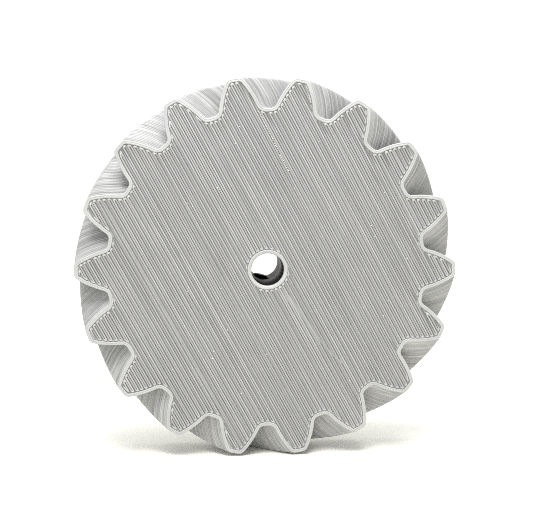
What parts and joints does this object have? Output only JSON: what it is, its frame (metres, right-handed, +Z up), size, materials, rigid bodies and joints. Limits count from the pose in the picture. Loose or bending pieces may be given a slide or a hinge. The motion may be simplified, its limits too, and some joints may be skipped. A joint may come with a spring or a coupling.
{
  "type": "extruder drive gear",
  "caption": "Printed helical gear with a steel-lined shaft bore, a captive nut and a radial set screw in its rear hub.",
  "frame": {"origin": "the wheel's centre: on the bore's axis, at the middle of the toothed width", "axes": "+Y along the wheel's axis from the front face towards the hub, +Z up with the wheel standing on its rim, +X to the right seen from the front"},
  "size_m": [0.059, 0.0134, 0.059],
  "materials": {
    "printed_plastic": "silver-grey printed filament with a soft sheen, visible extrusion lines and layer lines",
    "sleeve_steel": "dark drawn steel tube, fine lines round the bore",
    "zinc_steel": "bright zinc plate",
    "black_oxide": "black oxide with a light oil sheen"
  },
  "bodies": {
    "gear": {"helical_gear": "printed_plastic", "shaft_sleeve": "sleeve_steel", "captive_nut": "zinc_steel"},
    "screw": {"grub_screw": "black_oxide"}
  },
  "joints": [
    {"name": "screw_travel", "type": "slide", "parent": "gear", "child": "screw", "axis": [-0.2419, 0, -0.9703], "range_m": [-0.003, 0.004]}
  ]
}
